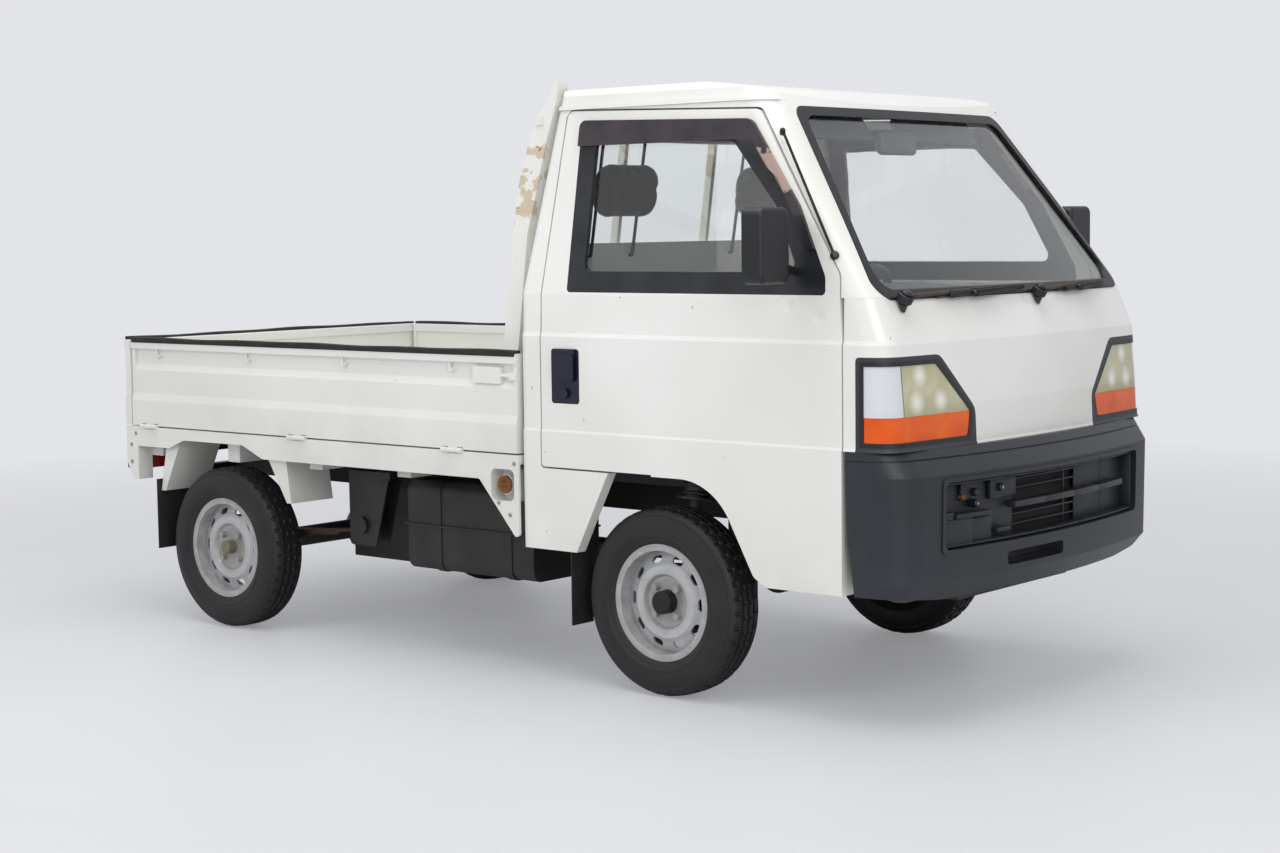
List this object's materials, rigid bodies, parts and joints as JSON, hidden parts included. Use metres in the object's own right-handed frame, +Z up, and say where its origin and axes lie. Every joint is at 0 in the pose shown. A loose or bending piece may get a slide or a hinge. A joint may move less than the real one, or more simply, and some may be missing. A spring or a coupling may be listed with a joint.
{
  "type": "kei truck",
  "caption": "Small cab-over pickup truck with a drop-side cargo bed, hinged doors, steered front wheels and free-turning wheels.",
  "frame": {"origin": "on the ground, at the middle of the truck's length and width", "axes": "+X towards the front, +Y to the left side, +Z up"},
  "size_m": [3.2947, 1.744, 1.7559],
  "materials": {
    "body_paint": "gloss white paint",
    "bed_paint": "white paint, worn",
    "bumper_plastic": "grained dark blue-grey plastic",
    "black_trim": "black plastic trim",
    "lens_clear": "aged clear lens",
    "lens_amber": "amber lens",
    "lens_red": "red lens",
    "window_glass": "clear glass",
    "interior_plastic": "grey interior plastic",
    "seat_fabric": "dark woven cloth",
    "wheel_paint": "silver paint, worn",
    "tyre_rubber": "black rubber",
    "flap_rubber": "black rubber",
    "chassis_black": "black chassis paint",
    "cast_metal": "bare cast iron",
    "dark_steel": "dull steel"
  },
  "bodies": {
    "truck": {"cab_side_right": "body_paint", "cab_side_left": "body_paint", "seat_right": "seat_fabric", "seat_left": "seat_fabric", "headrest_right": "seat_fabric", "headrest_left": "seat_fabric", "windscreen": "window_glass", "screen_seal": "black_trim", "front_panel": "body_paint", "roof_panel": "body_paint", "cab_back": "body_paint", "rear_window": "window_glass", "lamp_bezels": "black_trim", "headlamps": "lens_clear", "indicators": "lens_amber", "bumper": "bumper_plastic", "grille": "bumper_plastic", "cab_floor": "interior_plastic", "dashboard": "interior_plastic", "steering_column": "black_trim", "headrest_rods": "black_trim", "wipers": "black_trim", "bed_floor": "bed_paint", "front_wall": "bed_paint", "guard_frame": "bed_paint", "chassis_frame": "chassis_black", "rear_axle": "cast_metal", "leaf_springs": "dark_steel", "fuel_tank": "chassis_black", "engine_block": "cast_metal", "propeller_shaft": "dark_steel", "front_mud_flaps": "flap_rubber", "rear_mud_flaps": "flap_rubber", "tail_lamps": "lens_red"},
    "door_right": {"door_right": "body_paint", "door_handle_right": "black_trim", "window_trim_right": "black_trim", "door_glass_right": "window_glass", "mirror_right": "black_trim"},
    "side_gate_right": {"side_gate_right": "bed_paint"},
    "knuckle_right": {"knuckle_right": "cast_metal"},
    "wheel_front_right": {"rim_front_right": "wheel_paint", "tyre_front_right": "tyre_rubber"},
    "wheel_rear_right": {"rim_rear_right": "wheel_paint", "tyre_rear_right": "tyre_rubber"},
    "door_left": {"door_left": "body_paint", "door_handle_left": "black_trim", "window_trim_left": "black_trim", "door_glass_left": "window_glass", "mirror_left": "black_trim"},
    "side_gate_left": {"side_gate_left": "bed_paint"},
    "knuckle_left": {"knuckle_left": "cast_metal"},
    "wheel_front_left": {"rim_front_left": "wheel_paint", "tyre_front_left": "tyre_rubber"},
    "wheel_rear_left": {"rim_rear_left": "wheel_paint", "tyre_rear_left": "tyre_rubber"},
    "tailgate": {"tailgate": "bed_paint"},
    "steering_wheel": {"steering_wheel": "black_trim"}
  },
  "joints": [
    {"name": "door_right", "type": "hinge", "parent": "truck", "child": "door_right", "pos_m": [1.38, -0.6935, 0.75], "axis": [0, 0, 1], "range_deg": [0, 65]},
    {"name": "side_gate_right", "type": "hinge", "parent": "truck", "child": "side_gate_right", "pos_m": [-0.7, -0.7, 0.667], "axis": [1, 0, 0], "range_deg": [0, 178]},
    {"name": "door_left", "type": "hinge", "parent": "truck", "child": "door_left", "pos_m": [1.38, 0.6935, 0.75], "axis": [0, 0, -1], "range_deg": [0, 65]},
    {"name": "side_gate_left", "type": "hinge", "parent": "truck", "child": "side_gate_left", "pos_m": [-0.7, 0.7, 0.667], "axis": [-1, 0, 0], "range_deg": [0, 178]},
    {"name": "tailgate", "type": "hinge", "parent": "truck", "child": "tailgate", "pos_m": [-1.6395, 0, 0.667], "axis": [0, -1, 0], "range_deg": [0, 178]},
    {"name": "steer_right", "type": "hinge", "parent": "truck", "child": "knuckle_right", "pos_m": [0.7405, -0.56, 0.19], "axis": [0, 0.175, 0.9846], "range_deg": [-35, 35]},
    {"name": "steer_left", "type": "hinge", "parent": "truck", "child": "knuckle_left", "pos_m": [0.7405, 0.56, 0.19], "axis": [0, -0.175, 0.9846], "range_deg": [-35, 35]},
    {"name": "wheel_front_right", "type": "hinge", "parent": "knuckle_right", "child": "wheel_front_right", "pos_m": [0.7405, -0.605, 0.271], "axis": [0, 1, 0], "continuous": true},
    {"name": "wheel_front_left", "type": "hinge", "parent": "knuckle_left", "child": "wheel_front_left", "pos_m": [0.7405, 0.605, 0.271], "axis": [0, 1, 0], "continuous": true},
    {"name": "wheel_rear_right", "type": "hinge", "parent": "truck", "child": "wheel_rear_right", "pos_m": [-1.1595, -0.612, 0.271], "axis": [0, 1, 0], "continuous": true},
    {"name": "wheel_rear_left", "type": "hinge", "parent": "truck", "child": "wheel_rear_left", "pos_m": [-1.1595, 0.612, 0.271], "axis": [0, 1, 0], "continuous": true},
    {"name": "steering_wheel", "type": "hinge", "parent": "truck", "child": "steering_wheel", "pos_m": [1.15, -0.345, 1.06], "axis": [-0.7431, 0, 0.6691], "range_deg": [-525, 525]}
  ],
  "couplings": [
    {"joint": "steer_left", "follows": "steer_right", "ratio": 1},
    {"joint": "steering_wheel", "follows": "steer_right", "ratio": 15}
  ]
}
